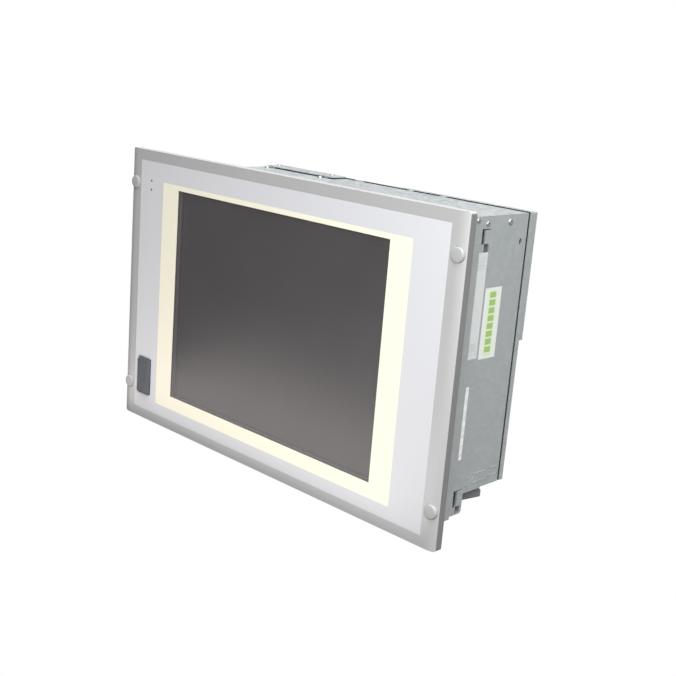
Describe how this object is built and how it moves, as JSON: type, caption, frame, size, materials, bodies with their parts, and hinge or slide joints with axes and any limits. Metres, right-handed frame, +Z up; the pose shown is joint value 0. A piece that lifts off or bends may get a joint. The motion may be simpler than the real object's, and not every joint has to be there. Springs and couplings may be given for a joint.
{
  "type": "rack-format operator panel with touch screen",
  "caption": "Rack-format operator panel: aluminium front with touch screen, foil and hinged port cover, sheet-steel housings behind with interfaces underneath.",
  "frame": {"origin": "middle of the front plate's rear face, where it meets the cabinet panel", "axes": "+X to the operator's right, +Y back into the cabinet, +Z up"},
  "size_m": [0.4826, 0.1479, 0.3102],
  "materials": {
    "plate_aluminium": "satin anodised, fine grain",
    "front_foil": "fine matt polyester film, cream field round the screen",
    "touch_glass": "anti-glare film on glass",
    "black_foam": "foam",
    "bezel_steel": "plain sheet",
    "lcd": "polariser film, switched off",
    "galvanised_steel": "galvanised sheet with fine spangle",
    "circuit_board": "solder mask",
    "seal_rubber": "matt",
    "cap_plastic": "satin",
    "led_lens": "clear green-grey",
    "port_plastic": "fine moulded texture",
    "connector_shell": "nickel plated sheet",
    "screw_steel": "zinc plated",
    "heatsink_aluminium": "extruded",
    "black_plastic": "moulded",
    "port_insert": "moulded",
    "red_plastic": "moulded",
    "supply_case": "plain sheet",
    "inlet_plastic": "moulded",
    "stud_brass": "plated",
    "drive_case": "cast",
    "label_film": "printed film, no lettering"
  },
  "bodies": {
    "panel": {"front_plate": "plate_aluminium", "front_foil": "front_foil", "touch_glass": "touch_glass", "screen_gasket": "black_foam", "lcd_bezel": "bezel_steel", "lcd_panel": "lcd", "screen_carrier": "galvanised_steel", "backlight_inverter": "circuit_board", "touch_controller": "circuit_board", "panel_seal": "seal_rubber", "rack_hole_caps": "cap_plastic", "led_lenses": "led_lens", "led_board": "circuit_board", "usb_bezel": "port_plastic", "front_usb_socket": "connector_shell", "usb_hinge_pin": "screw_steel", "front_housing": "galvanised_steel", "clamp_tabs": "galvanised_steel", "housing_screws": "screw_steel", "computer_housing": "galvanised_steel", "slot_cover": "galvanised_steel", "top_screws": "screw_steel", "side_screws": "screw_steel", "rear_cover": "galvanised_steel", "bay_cover": "galvanised_steel", "cover_latches": "galvanised_steel", "rear_cover_screws": "screw_steel", "mainboard": "circuit_board", "processor_heatsink": "heatsink_aluminium", "fan_frame": "black_plastic", "memory_module": "circuit_board", "backup_battery": "screw_steel", "riser_board": "circuit_board", "slot_plates": "connector_shell", "io_plate": "connector_shell", "display_port": "port_insert", "network_jacks": "connector_shell", "serial_port": "connector_shell", "usb_stacks": "connector_shell", "power_supply": "supply_case", "power_inlet": "inlet_plastic", "inlet_pins": "screw_steel", "switch_frame": "black_plastic", "earth_stud": "stud_brass", "hard_disk": "drive_case", "disk_tray": "galvanised_steel", "disk_dampers": "seal_rubber", "cover_gasket": "black_foam", "type_label": "label_film", "service_sticker": "label_film", "strip_label": "label_film"},
    "port_cover": {"usb_cover": "port_plastic", "usb_cover_seal": "seal_rubber"},
    "fan_rotor": {"fan_rotor": "black_plastic"},
    "power_rocker": {"power_rocker": "black_plastic"},
    "reset_button": {"reset_button": "red_plastic"}
  },
  "joints": [
    {"name": "port_cover_hinge", "type": "hinge", "parent": "panel", "child": "port_cover", "pos_m": [-0.2134, -0.012, 0], "axis": [0, 0, -1], "range_deg": [0, 110]},
    {"name": "fan_spin", "type": "hinge", "parent": "panel", "child": "fan_rotor", "pos_m": [0, 0.105, 0.03], "axis": [0, 1, 0], "continuous": true},
    {"name": "power_switch", "type": "hinge", "parent": "panel", "child": "power_rocker", "pos_m": [0.163, 0.079, -0.122], "axis": [-1, 0, 0], "range_deg": [0, 16]},
    {"name": "reset_press", "type": "slide", "parent": "panel", "child": "reset_button", "axis": [0, 0, 1], "range_m": [0, 0.0012], "stiffness_N_per_m": 400, "springref_m": -0.0005}
  ]
}
